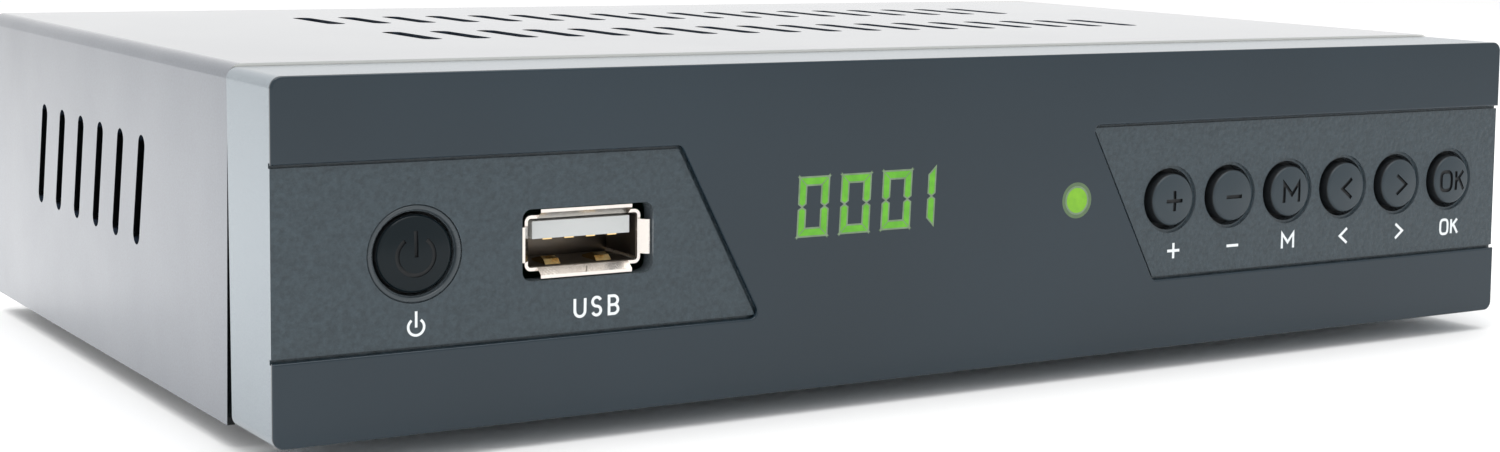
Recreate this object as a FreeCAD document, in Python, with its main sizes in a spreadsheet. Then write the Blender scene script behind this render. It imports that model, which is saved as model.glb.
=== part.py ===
import FreeCAD, Part
import math
import os
import re
import Sketcher
from FreeCAD import Placement, Rotation, Vector

# A small satellite television receiver, in millimetres.
# X runs to the right seen from the front, the front faces -Y, Z points up.
# The origin lies under the middle of the whole thing, at the level the feet stand on.

doc = FreeCAD.newDocument("receiver")
sheet = doc.addObject("Spreadsheet::Sheet", "Sheet")

# Driving dimensions. What is called Rise is a height above the casing's lower edge, and what is
# called Place, Front or Rear is a distance behind the front face.
DIMENSIONS = {
    # The whole thing
    "Width": "168",
    "BodyDepth": "110",
    "BodyHeight": "37",
    "FootHeight": "2.5",
    "SocketReach": "10",
    "ButtonProud": "0.5",
    "RunningGap": "0.3",
    "PartGap": "0.3",
    # Sheet steel cover and tray
    "CoverSheet": "0.8",
    "CoverBend": "1.5",
    "CoverSetIn": "0.2",
    "CoverLip": "6.5",
    "SeamGap": "0.3",
    "SeamLean": "1.1",
    "TraySheet": "0.8",
    "TrayFlange": "8",
    # Moulded front and its gloss overlay
    "FasciaDepth": "13.2",
    "FasciaHeight": "36.5",
    "FasciaRise": "0.2",
    "FasciaWall": "2.2",
    "FasciaCorner": "1.2",
    "FasciaLean": "0.8",
    "LensDepth": "0.45",
    "LensEdge": "0.25",
    "PanelTopRise": "28.1",
    "PanelLowRise": "8.75",
    "PanelSlant": "9.8",
    "LeftPanelLength": "44.2",
    "RightPanelLength": "69",
    "GrooveWidth": "0.35",
    "GrooveDepth": "0.4",
    "PanelCorner": "0.8",
    # Vent slots
    "TopSlotCount": "18",
    "TopSlotPitch": "6.14",
    "TopSlotLength": "15",
    "TopSlotWidth": "2.4",
    "TopSlotShift": "2.4",
    "TopFrontRow": "50.4",
    "TopRearRow": "82.3",
    "SideSlotCount": "6",
    "SideSlotPitch": "8.2",
    "SideSlotFirst": "44.6",
    "SideSlotLength": "12.8",
    "SideSlotWidth": "2.4",
    "SideSlotRise": "20.8",
    "SideSlotAngle": "13.5",
    "FloorSlotCount": "9",
    "FloorSlotPitch": "7",
    "FloorSlotLength": "22",
    "FloorSlotWidth": "2.2",
    "FloorSlotFirst": "48",
    # Power button and keys
    "ControlRise": "18.5",
    "PowerInset": "14.6",
    "PowerRing": "5.0",
    "PowerHole": "4.3",
    "PowerCap": "4.0",
    "PowerEdge": "0.8",
    "KeyInset": "8.65",
    "KeyPitch": "9.57",
    "KeyCount": "6",
    "KeyRing": "4.15",
    "KeyHole": "3.8",
    "KeyCap": "3.2",
    "KeyEdge": "0.6",
    "RingStep": "0.35",
    "KeyTravel": "0.5",
    "FlangeOver": "0.7",
    "FlangeDepth": "0.8",
    "StemRadius": "1.4",
    # Front board and its switches
    "BoardDepth": "1.6",
    "FrontBoardPlace": "14.4",
    "FrontBoardLeftGap": "6",
    "FrontBoardRightGap": "4",
    "FrontBoardLow": "6",
    "FrontBoardHigh": "31",
    "SwitchSide": "6",
    "SwitchDepth": "3.6",
    "PlungerRadius": "1.65",
    "PlungerOut": "0.9",
    "BossRadius": "2.4",
    "BossHole": "1.0",
    "BossInset": "3.6",
    # USB socket
    "UsbInset": "33.6",
    "UsbCorner": "0.7",
    "UsbCutWidth": "14.9",
    "UsbCutHeight": "7.5",
    "UsbCutCorner": "1.0",
    "UsbInWidth": "12.5",
    "UsbInHeight": "5.12",
    "UsbSheet": "0.35",
    "UsbFlare": "0.7",
    "UsbFlareDepth": "0.9",
    "UsbSetBack": "0.9",
    "TongueWidth": "11.1",
    "TongueDepth": "1.84",
    "TongueDrop": "0.35",
    "TongueSetBack": "1.4",
    # Display, status light and remote eye
    "DisplayX": "15.2",
    "DisplayWidth": "24",
    "DisplayHeight": "10",
    "DisplayDepth": "7",
    "DisplayRise": "20.6",
    "WindowMargin": "0.4",
    "StatusX": "13.2",
    "StatusRise": "19.4",
    "StatusRadius": "1.5",
    "EyeX": "5",
    "EyeRise": "19.4",
    "EyeWidth": "5",
    "EyeHeight": "6",
    "EyeDepth": "3.4",
    # Main board, posts, screws and lugs
    "MainBoardSideGap": "8",
    "MainBoardFront": "19",
    "MainBoardRearGap": "2.5",
    "MainBoardRise": "6.4",
    "PostRadius": "3",
    "PostInset": "6",
    "ScrewRadius": "1.3",
    "ScrewHead": "2.5",
    "ScrewHeadDepth": "1.4",
    "LugWidth": "12",
    "LugReach": "8",
    "LugDepth": "2.4",
    "LugIn": "36",
    # Feet
    "FootRadius": "5",
    "FootTaper": "0.8",
    "FootInset": "22",
    # Aerial socket and tuner
    "SatInset": "26",
    "SatRise": "17.5",
    "SatRadius": "4.76",
    "SatBore": "3.4",
    "SatPin": "0.9",
    "SatNut": "6.2",
    "SatNutDepth": "2",
    "CanWidth": "30",
    "CanLength": "36",
    "CanHeight": "15",
    # Network, video, sound and power sockets
    "SocketSpace": "6",
    "LanWidth": "16",
    "LanHeight": "13.4",
    "LanLength": "18",
    "LanInWidth": "12",
    "LanInHeight": "8.2",
    "LanInDepth": "12",
    "HdmiWidth": "15",
    "HdmiHeight": "5.6",
    "HdmiLength": "11.5",
    "HdmiSheet": "0.4",
    "AudioRadius": "4.15",
    "AudioBore": "3.2",
    "AudioReach": "8",
    "AudioBlock": "10",
    "JackInset": "22",
    "JackWidth": "9",
    "JackHeight": "11",
    "JackLength": "14",
    "JackBore": "2.9",
    "JackPin": "1.0",
    # Parts on the main board
    "ChipSide": "19",
    "ChipDepth": "1.5",
    "ChipX": "10",
    "SinkSide": "26",
    "SinkHeight": "9",
    "SinkBase": "2",
    "FinCount": "8",
    "FinThickness": "1",
    "MemorySide": "10",
    "MemoryDepth": "1.2",
    "CapacitorRadius": "4",
    "CapacitorHeight": "11.5",
    "CoilSide": "9",
    "CoilHeight": "4.5",
    "LinkWidth": "26",
    "LinkDepth": "5",
    "LinkHeight": "8",
}
for row, (alias, number) in enumerate(DIMENSIONS.items(), 1):
    sheet.set("A%d" % row, alias)
    sheet.set("B%d" % row, number)
    sheet.setAlias("B%d" % row, alias)
doc.recompute()

# Places worked out from the driving dimensions
LUG_SPREAD = "(Width / 2 - LugIn)"
HALF = "(BodyDepth + SocketReach + ButtonProud) / 2"
FRONT = "(ButtonProud - %s)" % HALF
BACK = "(%s + BodyDepth)" % FRONT
LOW = "FootHeight"
TOP = "(FootHeight + BodyHeight)"
PANEL = "(%s + LensDepth)" % FRONT
WALL_BACK = "(%s + FasciaWall)" % PANEL
FASCIA_BACK = "(%s + FasciaDepth)" % FRONT
FASCIA_LOW = "(FootHeight + FasciaRise)"
COVER_HALF = "(Width / 2 - CoverSetIn)"
COVER_FRONT = "(%s + SeamGap)" % FASCIA_BACK
TRAY_HALF = "(%s - CoverSheet - PartGap)" % COVER_HALF
TRAY_BACK = "(%s - CoverSheet)" % BACK
CONTROL_Z = "(FootHeight + ControlRise)"
BOARD_FRONT = "(%s + FrontBoardPlace)" % FRONT
BOARD_REAR = "(%s + BoardDepth)" % BOARD_FRONT
MAIN_LOW = "(FootHeight + MainBoardRise)"
MAIN_TOP = "(%s + BoardDepth)" % MAIN_LOW
FLOOR_TOP = "(FootHeight + TraySheet)"
POWER_X = "(PowerInset - Width / 2)"
USB_X = "(UsbInset - Width / 2)"
KEY_FIRST_X = "(Width / 2 - KeyInset - KeyPitch * (KeyCount - 1))"
BOARD_LEFT = "(FrontBoardLeftGap - Width / 2)"
BOARD_RIGHT = "(Width / 2 - FrontBoardRightGap)"
LEFT_PANEL_END = "(LeftPanelLength - Width / 2)"
RIGHT_PANEL_START = "(Width / 2 - RightPanelLength)"
MAIN_HALF = "(Width / 2 - MainBoardSideGap)"
MAIN_FRONT = "(%s + MainBoardFront)" % FRONT
MAIN_REAR = "(%s - MainBoardRearGap)" % BACK
SAT_X = "(Width / 2 - SatInset)"
LAN_X = "(%s - (CanWidth + LanWidth) / 2 - SocketSpace)" % SAT_X
HDMI_X = "(%s - (LanWidth + HdmiWidth) / 2 - SocketSpace * 1.5)" % LAN_X
AUDIO_X = "(%s - (HdmiWidth + AudioBlock) / 2 - SocketSpace * 1.5)" % HDMI_X
JACK_X = "(JackInset - Width / 2)"


def bound(text):
    """The text with each dimension's name turned into its cell of the sheet."""
    return re.sub(r"\b([A-Z][A-Za-z]+)\b", r"Sheet.\1", str(text))


def value(text):
    """The number that the text comes to with the sheet's values."""
    result = sheet.evalExpression(bound(text))
    return float(getattr(result, "Value", result))


NODES = []
MADE = {}


def node(item, name):
    """Marks an object as a finished piece, whose label names its file."""
    item.Label = name
    NODES.append(item)
    return item


def add(kind, name):
    """A new object whose name is numbered where the same name comes again."""
    MADE[name] = MADE.get(name, 0) + 1
    return doc.addObject(kind, name if MADE[name] == 1 else "%s_%d" % (name, MADE[name]))


def bind(item, **properties):
    for name, text in properties.items():
        item.setExpression(name, bound(text))
    return item


def put(item, x, y, z, rotation=None):
    if rotation:
        item.Placement = Placement(Vector(), rotation)
    for axis, text in zip("xyz", (x, y, z)):
        item.setExpression("Placement.Base." + axis, bound(text))
    return item


# Simple solids and what is cut from them or joined to them

def box(name, x, y, z, width, depth, height):
    """A block from its low corner."""
    item = bind(add("Part::Box", name), Length=width, Width=depth, Height=height)
    return put(item, x, y, z)


def block(name, x, y, z, width, depth, height):
    """A block centred on x, from its front y and its lower z."""
    return box(name, "%s - (%s) / 2" % (x, width), y, z, width, depth, height)


TURNS = {
    "x": Rotation(Vector(0, 1, 0), 90),
    "y": Rotation(Vector(1, 0, 0), -90),
    "z": Rotation(),
}


def rod(name, axis, x, y, z, radius, length):
    item = bind(add("Part::Cylinder", name), Radius=radius, Height=length)
    return put(item, x, y, z, TURNS[axis])


def cut(name, base, *tools):
    tool = tools[0]
    if len(tools) > 1:
        tool = add("Part::MultiFuse", name + "_tools")
        tool.Shapes = list(tools)
    item = add("Part::Cut", name)
    item.Base = base
    item.Tool = tool
    item.Refine = True
    return item


def fuse(name, *pieces):
    item = add("Part::MultiFuse", name)
    item.Shapes = list(pieces)
    item.Refine = True
    return item


def group(name, pieces):
    """Separate solids that share one node."""
    item = add("Part::Compound", name)
    item.Links = list(pieces)
    return item


# Bodies made from sketches

def new_body(name):
    return node(doc.addObject("PartDesign::Body", name), name)


def origin(body, role):
    return next(item for item in body.Origin.OriginFeatures if item.Role == role)


def sketch(body, name, plane, place="0", x="0", y="0", angle=None):
    """A sketch on one of the body's planes, moved along the plane's normal by place."""
    item = body.newObject("Sketcher::SketchObject", name)
    item.AttachmentSupport = [(origin(body, plane), "")]
    item.MapMode = "FlatFace"
    item.AttachmentOffset = Placement(Vector(), Rotation(Vector(0, 0, 1), 1 if angle else 0))
    for axis, text in zip("xyz", (x, y, place)):
        item.setExpression("AttachmentOffset.Base." + axis, bound(text))
    if angle:
        item.setExpression("AttachmentOffset.Rotation.Angle", bound(angle))
    return item


def dimension(item, kind, text, *where):
    index = item.addConstraint(Sketcher.Constraint(kind, *where, value(text)))
    item.renameConstraint(index, "d%d" % index)
    item.setExpression("Constraints.d%d" % index, bound(text))


def pin(item, curve, end, x, y):
    dimension(item, "DistanceX", x, -1, 1, curve, end)
    dimension(item, "DistanceY", y, -1, 1, curve, end)


def circle(item, x, y, radius):
    centre = Vector(value(x), value(y), 0)
    curve = item.addGeometry(Part.Circle(centre, Vector(0, 0, 1), value(radius)), False)
    pin(item, curve, 3, x, y)
    dimension(item, "Radius", radius, curve)


def outline(item, corners):
    """A closed outline, anticlockwise. A corner is (x, y) or, where square, (x, y, radius)."""
    spots = [Vector(value(corner[0]), value(corner[1]), 0) for corner in corners]
    count = len(corners)
    ends = []
    for index, corner in enumerate(corners):
        if len(corner) == 2:
            ends.append(((corner[0], corner[1]), (corner[0], corner[1])))
            continue
        x, y, radius = corner
        pair = []
        for other in (spots[index - 1], spots[(index + 1) % count]):
            run = other - spots[index]
            along_x = abs(run.x) > abs(run.y)
            sign = "+" if (run.x if along_x else run.y) > 0 else "-"
            moved_x = "%s %s (%s)" % (x, sign, radius) if along_x else x
            moved_y = y if along_x else "%s %s (%s)" % (y, sign, radius)
            pair.append((moved_x, moved_y))
        ends.append(tuple(pair))
    lines = []
    for index in range(count):
        start = ends[index][1]
        stop = ends[(index + 1) % count][0]
        points = [Vector(value(text[0]), value(text[1]), 0) for text in (start, stop)]
        line = item.addGeometry(Part.LineSegment(*points), False)
        pin(item, line, 1, *start)
        if len(corners[(index + 1) % count]) == 3:
            pin(item, line, 2, *stop)
        lines.append(line)
    for index, corner in enumerate(corners):
        before = lines[index - 1]
        after = lines[index]
        if len(corner) == 2:
            item.addConstraint(Sketcher.Constraint("Coincident", before, 2, after, 1))
            continue
        first, last = (Vector(value(text[0]), value(text[1]), 0) for text in ends[index])
        middle = first + last - spots[index]
        left_turn = (spots[index] - first).cross(last - spots[index]).z > 0
        begin, finish = (first, last) if left_turn else (last, first)
        angles = [math.atan2(spot.y - middle.y, spot.x - middle.x) for spot in (begin, finish)]
        round_curve = Part.Circle(middle, Vector(0, 0, 1), value(corner[2]))
        arc = item.addGeometry(Part.ArcOfCircle(round_curve, *angles), False)
        item.addConstraint(Sketcher.Constraint("Coincident", arc, 1 if left_turn else 2, before, 2))
        item.addConstraint(Sketcher.Constraint("Coincident", arc, 2 if left_turn else 1, after, 1))
        dimension(item, "Radius", corner[2], arc)


def rectangle(item, x_low, y_low, x_high, y_high, radius=None):
    corners = [(x_low, y_low), (x_high, y_low), (x_high, y_high), (x_low, y_high)]
    outline(item, [corner + ((radius,) if radius else ()) for corner in corners])


def slot(item, x, y, length, width):
    """A slot with full round ends, its length along the sketch's Y."""
    middle_x = value(x)
    middle_y = value(y)
    radius = value(width) / 2
    reach = value(length) / 2 - radius
    upper = "%s + (%s - %s) / 2" % (y, length, width)
    lower = "%s - (%s - %s) / 2" % (y, length, width)
    arcs = []
    for place, text, start in ((middle_y + reach, upper, 0), (middle_y - reach, lower, math.pi)):
        round_curve = Part.Circle(Vector(middle_x, place, 0), Vector(0, 0, 1), radius)
        arc = item.addGeometry(Part.ArcOfCircle(round_curve, start, start + math.pi), False)
        pin(item, arc, 3, x, text)
        arcs.append(arc)
    dimension(item, "Radius", "(%s) / 2" % width, arcs[0])
    for side, first_end, last_end in ((1, 1, 2), (-1, 2, 1)):
        points = [Vector(middle_x + side * radius, middle_y + reach * end, 0) for end in (1, -1)]
        line = item.addGeometry(Part.LineSegment(*points), False)
        item.addConstraint(Sketcher.Constraint("Tangent", line, 1, arcs[0], first_end))
        item.addConstraint(Sketcher.Constraint("Tangent", line, 2, arcs[1], last_end))


def settle(feature):
    doc.recompute()
    return feature


def pad(body, profile, length, backwards=False):
    item = body.newObject("PartDesign::Pad", profile.Name + "_pad")
    item.Profile = profile
    item.Reversed = backwards
    item.setExpression("Length", bound(length))
    return settle(item)


def pocket(body, profile, length=None, backwards=False, both=False):
    """Cuts the profile's shape out, through everything where no length is given."""
    before = body.Shape.Volume
    item = body.newObject("PartDesign::Pocket", profile.Name + "_pocket")
    item.Profile = profile
    item.Reversed = backwards
    if both:
        item.Midplane = True
    if length:
        item.setExpression("Length", bound(length))
    else:
        item.Type = "ThroughAll"
    settle(item)
    if before - body.Shape.Volume < 0.001:
        raise ValueError(item.Name + " cuts nothing")
    return item


def pattern(body, feature, axis, pitch, count):
    item = body.newObject("PartDesign::LinearPattern", feature.Name + "_row")
    item.Originals = [feature]
    item.Direction = (origin(body, axis), [""])
    item.setExpression("Length", bound("(%s) * (%s - 1)" % (pitch, count)))
    item.setExpression("Occurrences", bound(count))
    body.Tip = item
    return settle(item)


def revolve(body, profile):
    item = body.newObject("PartDesign::Revolution", profile.Name + "_turned")
    item.Profile = profile
    item.ReferenceAxis = (profile, ["V_Axis"])
    item.Angle = 360
    return settle(item)


def soften(body, feature, radius, wanted, kind="PartDesign::Fillet"):
    """Rounds or bevels the feature's edges that the test wanted picks."""
    edges = ["Edge%d" % (i + 1) for i, edge in enumerate(feature.Shape.Edges) if wanted(edge)]
    item = body.newObject(kind, feature.Name + "_edge")
    item.Base = (feature, edges)
    item.setExpression("Radius" if kind.endswith("Fillet") else "Size", bound(radius))
    return settle(item)


def turned(name, x, y, z, profile):
    """A round piece about an axis along Y, from points (radius, distance behind y)."""
    body = new_body(name)
    item = sketch(body, name + "_half", "XY_Plane")
    outline(item, profile)
    revolve(body, item)
    return put(body, x, y, z)


# The casing

def top_cover():
    body = new_body("top_cover")
    inner = "(%s - CoverSheet)" % COVER_HALF
    ceiling = "%s - CoverSheet" % TOP
    inner_bend = "CoverBend - CoverSheet"
    bent = sketch(body, "cover_section", "XZ_Plane", "-%s" % COVER_FRONT)
    outline(bent, [
        ("-%s" % COVER_HALF, LOW),
        ("-%s" % inner, LOW),
        ("-%s" % inner, ceiling, inner_bend),
        (inner, ceiling, inner_bend),
        (inner, LOW),
        (COVER_HALF, LOW),
        (COVER_HALF, TOP, "CoverBend"),
        ("-%s" % COVER_HALF, TOP, "CoverBend"),
    ])
    pad(body, bent, "%s - %s" % (BACK, COVER_FRONT), True)

    lip = sketch(body, "cover_lip", "XZ_Plane", "-%s" % BACK)
    lip_half = "(%s - CoverBend)" % COVER_HALF
    rectangle(lip, "-" + lip_half, "%s - CoverLip" % TOP, lip_half, "%s - CoverSheet / 2" % TOP)
    pad(body, lip, "CoverSheet")

    lean = sketch(body, "cover_lean", "YZ_Plane")
    outline(lean, [
        (COVER_FRONT + " - CoverSheet", LOW),
        (COVER_FRONT + " + SeamLean", LOW),
        (COVER_FRONT, "%s - CoverBend" % TOP),
        (COVER_FRONT + " - CoverSheet", "%s - CoverBend" % TOP),
    ])
    pocket(body, lean, both=True)

    screws = sketch(body, "lip_holes", "XZ_Plane", "-%s" % BACK)
    for place in LIP_SCREWS:
        circle(screws, place, LIP_SCREW_Z, "ScrewRadius + PartGap / 2")
    pocket(body, screws, "CoverSheet", True)

    rows = sketch(body, "top_slot", "XY_Plane", TOP)
    first = "TopSlotShift - TopSlotPitch * (TopSlotCount - 1) / 2"
    for row in ("TopFrontRow", "TopRearRow"):
        slot(rows, first, "%s + %s" % (FRONT, row), "TopSlotLength", "TopSlotWidth")
    pattern(body, pocket(body, rows, "CoverSheet * 2"), "X_Axis", "TopSlotPitch", "TopSlotCount")

    side = sketch(body, "side_slot", "YZ_Plane", "0", "%s + SideSlotFirst" % FRONT,
                  "FootHeight + SideSlotRise", "SideSlotAngle")
    slot(side, "0", "0", "SideSlotLength", "SideSlotWidth")
    pattern(body, pocket(body, side, both=True), "Y_Axis", "SideSlotPitch", "SideSlotCount")


LIP_SCREWS = ("-" + LUG_SPREAD, "0", LUG_SPREAD)
LIP_SCREW_Z = "%s - CoverLip / 2 - CoverSheet / 2" % TOP


def base_tray():
    body = new_body("base_tray")
    inner = "(%s - TraySheet)" % TRAY_HALF
    rim = "%s + TrayFlange" % LOW
    bend = "CoverBend"
    bent = sketch(body, "tray_section", "XZ_Plane", "-(%s + SeamLean)" % COVER_FRONT)
    outline(bent, [
        ("-" + TRAY_HALF, LOW, bend),
        (TRAY_HALF, LOW, bend),
        (TRAY_HALF, rim),
        (inner, rim),
        (inner, FLOOR_TOP, bend + " - TraySheet"),
        ("-" + inner, FLOOR_TOP, bend + " - TraySheet"),
        ("-" + inner, rim),
        ("-" + TRAY_HALF, rim),
    ])
    pad(body, bent, "%s - %s - SeamLean" % (TRAY_BACK, COVER_FRONT), True)

    wall = sketch(body, "rear_wall", "XZ_Plane", "-%s" % TRAY_BACK)
    rectangle(wall, "-" + TRAY_HALF, LOW + " + TraySheet / 2", TRAY_HALF,
              "%s - CoverSheet - PartGap" % TOP, "CoverBend")
    pad(body, wall, "TraySheet")

    holes = sketch(body, "socket_holes", "XZ_Plane", "-%s" % TRAY_BACK)
    circle(holes, SAT_X, SAT_Z, SAT_NECK + " + PartGap / 2")
    circle(holes, AUDIO_X, AUDIO_Z, AUDIO_NECK + " + PartGap / 2")
    for place, width, low, height in SQUARE_SOCKETS:
        half = "((%s) / 2 + PartGap)" % width
        rectangle(holes, "%s - %s" % (place, half), "%s - PartGap" % low,
                  "%s + %s" % (place, half), "%s + %s + PartGap" % (low, height))
    for place in LIP_SCREWS:
        circle(holes, place, LIP_SCREW_Z, "ScrewRadius + PartGap / 2")
    pocket(body, holes, "TraySheet", True)

    lug_holes = sketch(body, "lug_holes", "XY_Plane", FLOOR_TOP)
    for place in LUGS:
        circle(lug_holes, place, LUG_Y, "ScrewRadius + PartGap / 2")
    pocket(body, lug_holes, "TraySheet")

    vents = sketch(body, "floor_slot", "XY_Plane", FLOOR_TOP, "0", "%s + FloorSlotFirst" % FRONT,
                   "90")
    for side in ("", "-"):
        slot(vents, "0", side + "(FloorSlotLength * 1.5)", "FloorSlotLength", "FloorSlotWidth")
    pattern(body, pocket(body, vents, "TraySheet"), "Y_Axis", "FloorSlotPitch", "FloorSlotCount")


LUGS = ("-" + LUG_SPREAD, "0", LUG_SPREAD)
LUG_Y = "(%s + LugReach - LugWidth / 4)" % COVER_FRONT
SAT_Z = "(FootHeight + SatRise)"
SAT_NECK = "(SatRadius - PartGap)"
AUDIO_NECK = "(AudioRadius - PartGap)"
AUDIO_Z = "(%s + AudioBlock / 2)" % MAIN_TOP
SQUARE_SOCKETS = (
    (LAN_X, "LanWidth", MAIN_TOP, "LanHeight"),
    (HDMI_X, "HdmiWidth", MAIN_TOP, "HdmiHeight"),
    (JACK_X, "JackWidth", MAIN_TOP, "JackHeight"),
)
WALL_IN = "(%s - TraySheet)" % TRAY_BACK
BOSSES = [
    (x, z)
    for x in ("(%s + BossInset)" % BOARD_LEFT, "(%s - BossInset)" % BOARD_RIGHT)
    for z in ("(FootHeight + FrontBoardLow + BossInset)", "(FootHeight + FrontBoardHigh - BossInset)")
]
EYE_LOW = "FootHeight + EyeRise - EyeHeight / 2"
DISPLAY_LOW = "FootHeight + DisplayRise - DisplayHeight / 2"
WINDOW_FRONT = "(%s + PartGap)" % PANEL


def front_fascia():
    body = new_body("front_fascia")
    high = "%s + FasciaHeight" % FASCIA_LOW
    shell = sketch(body, "fascia_outline", "XZ_Plane", "-%s" % PANEL)
    rectangle(shell, "-Width / 2", FASCIA_LOW, "Width / 2", high, "FasciaCorner")
    pad(body, shell, "FasciaDepth - LensDepth", True)

    hollow = sketch(body, "fascia_hollow", "XZ_Plane", "-%s" % FASCIA_BACK)
    rectangle(hollow, "FasciaWall - Width / 2", FASCIA_LOW + " + FasciaWall",
              "Width / 2 - FasciaWall", high + " - FasciaWall", "FasciaCorner / 2")
    pocket(body, hollow, "FasciaDepth - LensDepth - FasciaWall", True)

    lean = sketch(body, "fascia_lean", "YZ_Plane")
    outline(lean, [
        (FASCIA_BACK + " - FasciaLean", LOW),
        (FASCIA_BACK + " + FasciaLean", LOW),
        (FASCIA_BACK + " + FasciaLean", TOP),
        (FASCIA_BACK, TOP),
    ])
    pocket(body, lean, both=True)

    openings = sketch(body, "front_openings", "XZ_Plane", "-%s" % PANEL)
    circle(openings, POWER_X, CONTROL_Z, "PowerHole")
    half = "UsbCutWidth / 2"
    rise = "UsbCutHeight / 2"
    rectangle(openings, USB_X + " - " + half, "%s - %s" % (CONTROL_Z, rise), USB_X + " + " + half,
              "%s + %s" % (CONTROL_Z, rise), "UsbCutCorner")
    half = "(DisplayWidth / 2 + WindowMargin)"
    rectangle(openings, "-DisplayX - " + half, DISPLAY_LOW + " - WindowMargin",
              "-DisplayX + " + half, DISPLAY_LOW + " + DisplayHeight + WindowMargin")
    circle(openings, "StatusX", "FootHeight + StatusRise", "StatusRadius + RunningGap")
    half = "(EyeWidth / 2 + WindowMargin)"
    rectangle(openings, "EyeX - " + half, EYE_LOW + " - WindowMargin", "EyeX + " + half,
              EYE_LOW + " + EyeHeight + WindowMargin")
    pocket(body, openings, "FasciaWall")

    grooves = sketch(body, "panel_grooves", "XZ_Plane", "-%s" % PANEL)
    panel_top = "FootHeight + PanelTopRise"
    panel_low = "FootHeight + PanelLowRise"
    lean_share = "PanelSlant / (PanelTopRise - PanelLowRise)"
    near_top = "GrooveWidth * (%s)" % lean_share
    across = "GrooveWidth * sqrt(1 + (%s) ^ 2)" % lean_share
    left_end = LEFT_PANEL_END
    outline(grooves, [
        ("-Width / 2 - GrooveWidth", panel_top + " - GrooveWidth"),
        ("%s + %s - %s" % (left_end, near_top, across), panel_top + " - GrooveWidth"),
        ("%s + PanelSlant - %s - %s" % (left_end, near_top, across), panel_low + " + GrooveWidth"),
        ("-Width / 2 - GrooveWidth", panel_low + " + GrooveWidth"),
        ("-Width / 2 - GrooveWidth", panel_low + " - GrooveWidth / 2"),
        (left_end + " + PanelSlant + GrooveWidth / 2", panel_low + " - GrooveWidth / 2"),
        (left_end + " + GrooveWidth / 2", panel_top + " + GrooveWidth / 2"),
        ("-Width / 2 - GrooveWidth", panel_top + " + GrooveWidth / 2"),
    ])
    right_start = RIGHT_PANEL_START
    outline(grooves, [
        ("Width / 2 + GrooveWidth", panel_top + " - GrooveWidth"),
        ("Width / 2 + GrooveWidth", panel_top + " + GrooveWidth / 2"),
        (right_start + " - GrooveWidth / 2", panel_top + " + GrooveWidth / 2"),
        (right_start + " + PanelSlant - GrooveWidth / 2", panel_low + " - GrooveWidth / 2"),
        ("Width / 2 + GrooveWidth", panel_low + " - GrooveWidth / 2"),
        ("Width / 2 + GrooveWidth", panel_low + " + GrooveWidth"),
        ("%s + PanelSlant - %s + %s" % (right_start, near_top, across), panel_low + " + GrooveWidth"),
        ("%s + %s + %s" % (right_start, near_top, across), panel_top + " - GrooveWidth"),
    ])
    pocket(body, grooves, "GrooveDepth")

    rim = sketch(body, "power_ring", "XZ_Plane", "-%s" % PANEL)
    circle(rim, POWER_X, CONTROL_Z, "PowerRing")
    pocket(body, rim, "RingStep")
    for name, radius, depth in (("key_ring", "KeyRing", "RingStep"), ("key_hole", "KeyHole", "FasciaWall")):
        ring = sketch(body, name, "XZ_Plane", "-%s" % PANEL)
        circle(ring, KEY_FIRST_X, CONTROL_Z, radius)
        pattern(body, pocket(body, ring, depth), "X_Axis", "KeyPitch", "KeyCount")

    bosses = sketch(body, "bosses", "XZ_Plane", "-%s" % WALL_BACK)
    bores = sketch(body, "boss_bores", "XZ_Plane", "-%s" % BOARD_FRONT)
    for x, z in BOSSES:
        circle(bosses, x, z, "BossRadius")
        circle(bores, x, z, "BossHole + PartGap / 6")
    pad(body, bosses, "%s - %s" % (BOARD_FRONT, WALL_BACK), True)
    pocket(body, bores, "BossRadius * 3", True)

    lug = sketch(body, "lug", "XY_Plane", FLOOR_TOP)
    rectangle(lug, "-%s - LugWidth / 2" % LUG_SPREAD, FASCIA_BACK + " - FasciaLean - LugWidth / 4",
              "-%s + LugWidth / 2" % LUG_SPREAD, "%s + LugReach" % COVER_FRONT)
    pattern(body, pad(body, lug, "LugDepth"), "X_Axis", LUG_SPREAD, "3")
    lug_hole = sketch(body, "lug_bore", "XY_Plane", FLOOR_TOP)
    circle(lug_hole, "-" + LUG_SPREAD, LUG_Y, "ScrewRadius + PartGap / 6")
    drilled = pocket(body, lug_hole, "LugDepth", True)
    pattern(body, drilled, "X_Axis", LUG_SPREAD, "3")


def front_lens():
    body = new_body("front_lens")
    high = "%s + FasciaHeight" % FASCIA_LOW
    half = "Width / 2"
    panel_top = "FootHeight + PanelTopRise"
    panel_low = "FootHeight + PanelLowRise"
    shape = sketch(body, "lens_outline", "XZ_Plane", "-%s" % PANEL)
    outline(shape, [
        ("-" + half, FASCIA_LOW, "FasciaCorner"),
        (half, FASCIA_LOW, "FasciaCorner"),
        (half, panel_low),
        (RIGHT_PANEL_START + " + PanelSlant", panel_low),
        (RIGHT_PANEL_START, panel_top),
        (half, panel_top),
        (half, high, "FasciaCorner"),
        ("-" + half, high, "FasciaCorner"),
        ("-" + half, panel_top),
        (LEFT_PANEL_END, panel_top),
        (LEFT_PANEL_END + " + PanelSlant", panel_low),
        ("-" + half, panel_low),
    ])
    gloss = pad(body, shape, "LensDepth")
    reach = value(half) - value("PanelCorner")
    gloss = soften(body, gloss, "PanelCorner", lambda edge: all(
        abs(vertex.X) < reach for vertex in edge.Vertexes) and edge.Length < value("LensDepth * 1.01"))
    front = value(FRONT)
    soften(body, gloss, "LensEdge",
           lambda edge: all(abs(vertex.Y - front) < 1e-6 for vertex in edge.Vertexes))


# The front board and what sits on it

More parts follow.
